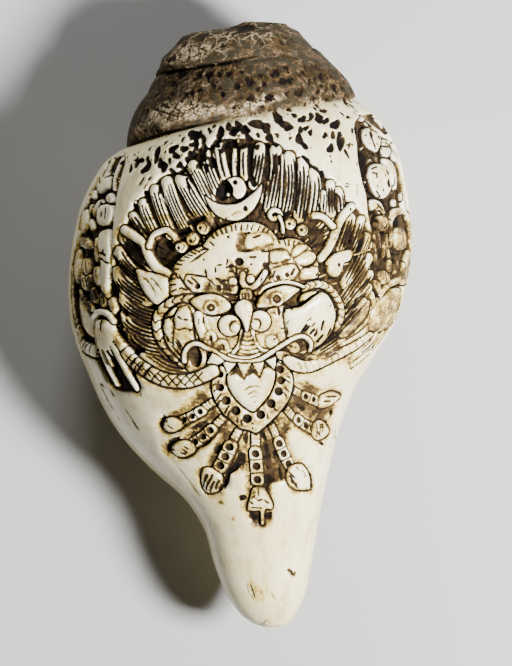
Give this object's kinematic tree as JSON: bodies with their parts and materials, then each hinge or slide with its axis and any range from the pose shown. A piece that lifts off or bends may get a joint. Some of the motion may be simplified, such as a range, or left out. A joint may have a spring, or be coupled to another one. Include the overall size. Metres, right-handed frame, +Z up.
{
  "type": "carved conch shell",
  "caption": "Right-turning sea conch shell with a deeply carved back, lying on its mouth, with a worn low spire and a narrow canal.",
  "frame": {"origin": "centre of the bounding box's base, where the shell rests on the table", "axes": "+Z up through the carved back, +Y towards the spire, -Y towards the tip of the canal, +X to the right of the carved face as it is seen from above"},
  "size_m": [0.1018, 0.18, 0.0858],
  "materials": {
    "shell_ivory": "polished old shell, glossy on the high places and dull in the cuts"
  },
  "bodies": {
    "root": {"conch_shell": "shell_ivory"}
  },
  "joints": []
}
